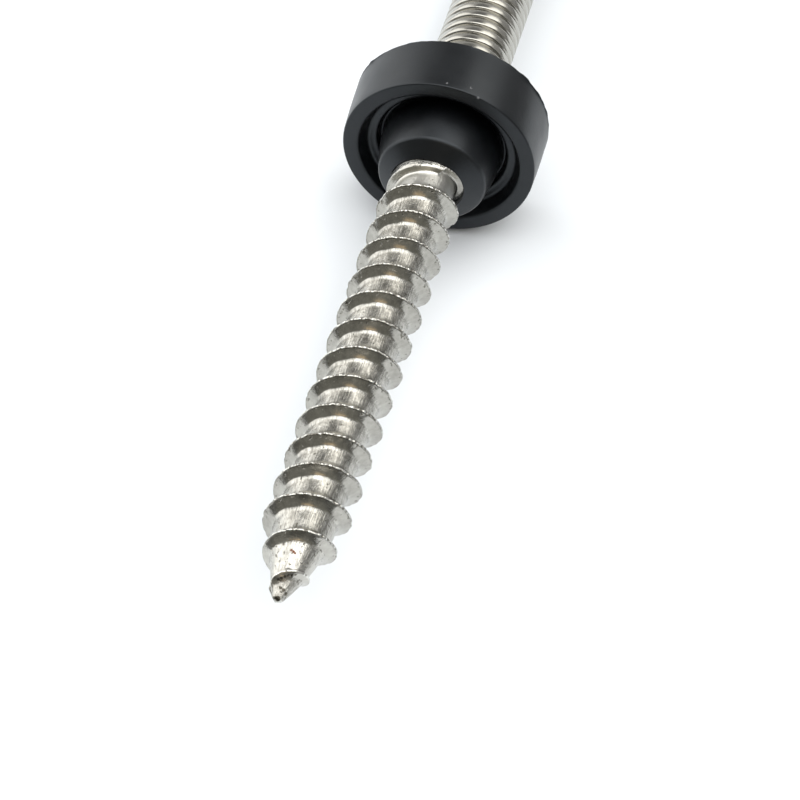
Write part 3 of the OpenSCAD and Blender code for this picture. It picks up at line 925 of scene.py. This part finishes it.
# The studio round the bolt, +X behind it and +Y on its left: a grey room with a dim front and a warm
# lamp there, a panel on the left, a dim right, a large light overhead, two panels behind with a dark
# gap between, and dim ground. Each is a centre, inner and outer angle in degrees, and a radiance.
SKY_GREY = (0.62, 0.62, 0.61)
SKY_PATCHES = (
    ((-1.0, 0.0, 0.15), 48.0, 84.0, (0.28, 0.277, 0.25)),
    ((-0.79, -0.24, 0.56), 5.0, 16.0, (1.0, 0.8, 0.55)),
    ((0.15, 0.9, 0.42), 35.0, 42.0, (2.2, 2.2, 2.18)),
    ((0.42, -0.9, 0.1), 26.0, 38.0, (0.4, 0.4, 0.4)),
    ((0.02, -0.2, 0.97), 31.0, 40.0, (3.05, 3.05, 3.02)),
    ((0.58, -0.44, 0.68), 10.0, 22.0, (2.6, 2.56, 2.45)),
    ((0.38, 0.61, 0.69), 9.0, 18.0, (2.0, 1.97, 1.9)),
    ((0.64, 0.14, 0.74), 12.0, 21.0, (0.22, 0.22, 0.22)),
    ((0.0, 0.0, -1.0), 82.0, 93.0, (0.14, 0.14, 0.135)),
    ((-1.0, 0.0, -0.12), 12.0, 26.0, (0.1, 0.1, 0.09)),
)


# Width of the camera's sensor in millimetres and its nearest distance in metres
SENSOR_WIDTH, CLIP_START = 36.0, 0.01


def sky_patch(board, way, centre, inner, outer):
    """Share of a round patch of sky: 1 within the inner angle from its centre, 0 past the outer."""
    ahead = np.array(centre) / np.linalg.norm(centre)
    near = board.node("ShaderNodeVectorMath", {"operation": "DOT_PRODUCT"}, way, tuple(ahead), out=1)
    return board.step(near, math.cos(math.radians(outer)), math.cos(math.radians(inner)))


class SCENE_OT_bolt_stage(bpy.types.Operator):
    """Add the floor, the soft lights and the camera"""

    bl_idname = "scene.hanger_bolt_stage"
    bl_label = "Studio"

    def execute(self, context):
        scene = context.scene
        stage = scene.bolt_stage
        corners = np.array([(-1, -1, 0), (1, -1, 0), (1, 1, 0), (-1, 1, 0)]) * np.array(stage.floor_half)
        corners = (corners + np.array(stage.floor_middle)) / MM
        floor = add_object("pale_floor", corners, [np.array([[0, 1, 2, 3]])])
        colour = (*stage.floor_colour, 1.0)
        material, _, _ = new_finish("pale_floor", Base_Color=colour, Roughness=0.8, Specular_IOR_Level=0.1)
        floor.data.materials.append(material)

        world = bpy.data.worlds.new("studio")
        world.use_nodes = True
        scene.world = world
        board = Board(world.node_tree)
        way = board.node("ShaderNodeTexCoord", out=0)
        sky = SKY_GREY
        for centre, inner, outer, colour in SKY_PATCHES:
            sky = board.blend(sky_patch(board, way, centre, inner, outer), sky, colour)
        shade = world.node_tree.nodes["Background"]
        board.tree.links.new(sky.socket, shade.inputs["Color"])
        shade.inputs["Strength"].default_value = stage.sky_strength

        lens = bpy.data.cameras.new("camera")
        lens.lens, lens.sensor_width, lens.clip_start = stage.lens, SENSOR_WIDTH, CLIP_START
        camera = bpy.data.objects.new("camera", lens)
        camera.location = stage.camera_place
        camera.rotation_euler = (math.pi / 2 - stage.camera_pitch, 0.0, stage.camera_yaw - math.pi / 2)
        scene.collection.objects.link(camera)
        scene.camera = camera
        scene.view_settings.view_transform = "Standard"
        return {"FINISHED"}


class VIEW3D_PT_hanger_bolt(bpy.types.Panel):
    """Lists the pieces and their sizes"""

    bl_label = "Hanger Bolt"
    bl_space_type = "VIEW_3D"
    bl_region_type = "UI"
    bl_category = "Hanger Bolt"

    def draw(self, context):
        for operator, group in LISTED:
            self.layout.operator(operator)
            settings = getattr(context.scene, group)
            for name in settings.__annotations__:
                self.layout.prop(settings, name)


LISTED = (
    ("object.hanger_bolt_add", "bolt_sizes"),
    ("object.sealing_washer_add", "seal_sizes"),
    ("scene.hanger_bolt_stage", "bolt_stage"),
)
GROUPS = {"bolt_sizes": SizesOfBolt, "seal_sizes": SizesOfSeal, "bolt_stage": StageSettings,
          "bolt_finish": FinishSettings}
CLASSES = (*GROUPS.values(), OBJECT_OT_hanger_bolt, OBJECT_OT_sealing_washer, SCENE_OT_bolt_stage,
           VIEW3D_PT_hanger_bolt)


def register():
    for item in CLASSES:
        bpy.utils.register_class(item)
    for name, group in GROUPS.items():
        setattr(bpy.types.Scene, name, PointerProperty(type=group))


def unregister():
    for name in GROUPS:
        delattr(bpy.types.Scene, name)
    for item in reversed(CLASSES):
        bpy.utils.unregister_class(item)


def main():
    register()
    bpy.ops.object.hanger_bolt_add()
    bpy.ops.object.sealing_washer_add()
    bpy.ops.scene.hanger_bolt_stage()


if __name__ == "__main__":
    main()
